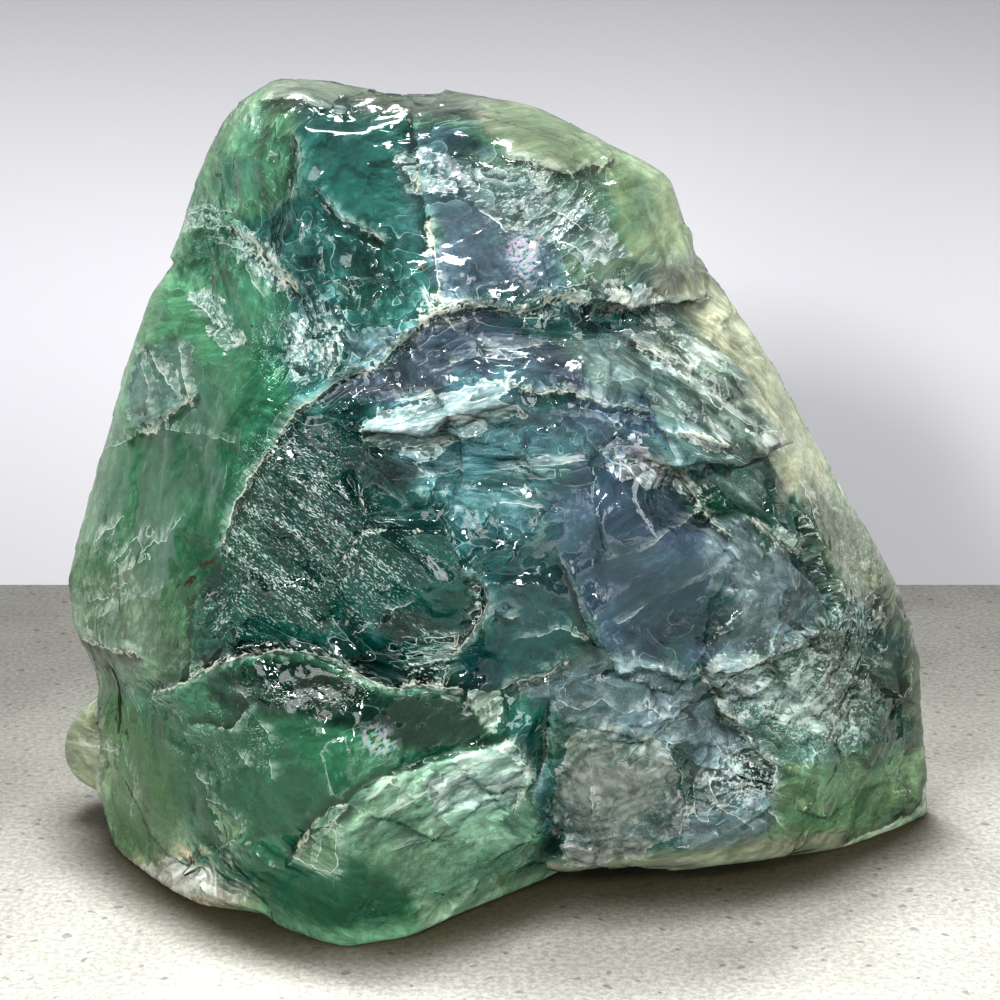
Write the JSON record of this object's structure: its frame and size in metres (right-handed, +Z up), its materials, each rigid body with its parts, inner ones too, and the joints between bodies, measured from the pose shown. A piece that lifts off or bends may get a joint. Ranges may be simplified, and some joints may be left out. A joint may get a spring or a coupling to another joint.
{
  "type": "rough fluorite chunk",
  "caption": "Rough chunk of translucent green and violet fluorite with an overhanging crown, a broken stepped face, worn rims and a flat base.",
  "frame": {"origin": "middle of the flat underside, under the centre of the bounding box", "axes": "+Z up, -Y out of the broad broken face, +X to the right of that face and along the stone's width"},
  "size_m": [0.1248, 0.075, 0.107],
  "materials": {
    "fluorite": "translucent green and violet crystal, glossy where fresh broken and frosted where worn"
  },
  "bodies": {
    "root": {"fluorite": "fluorite"}
  },
  "joints": []
}
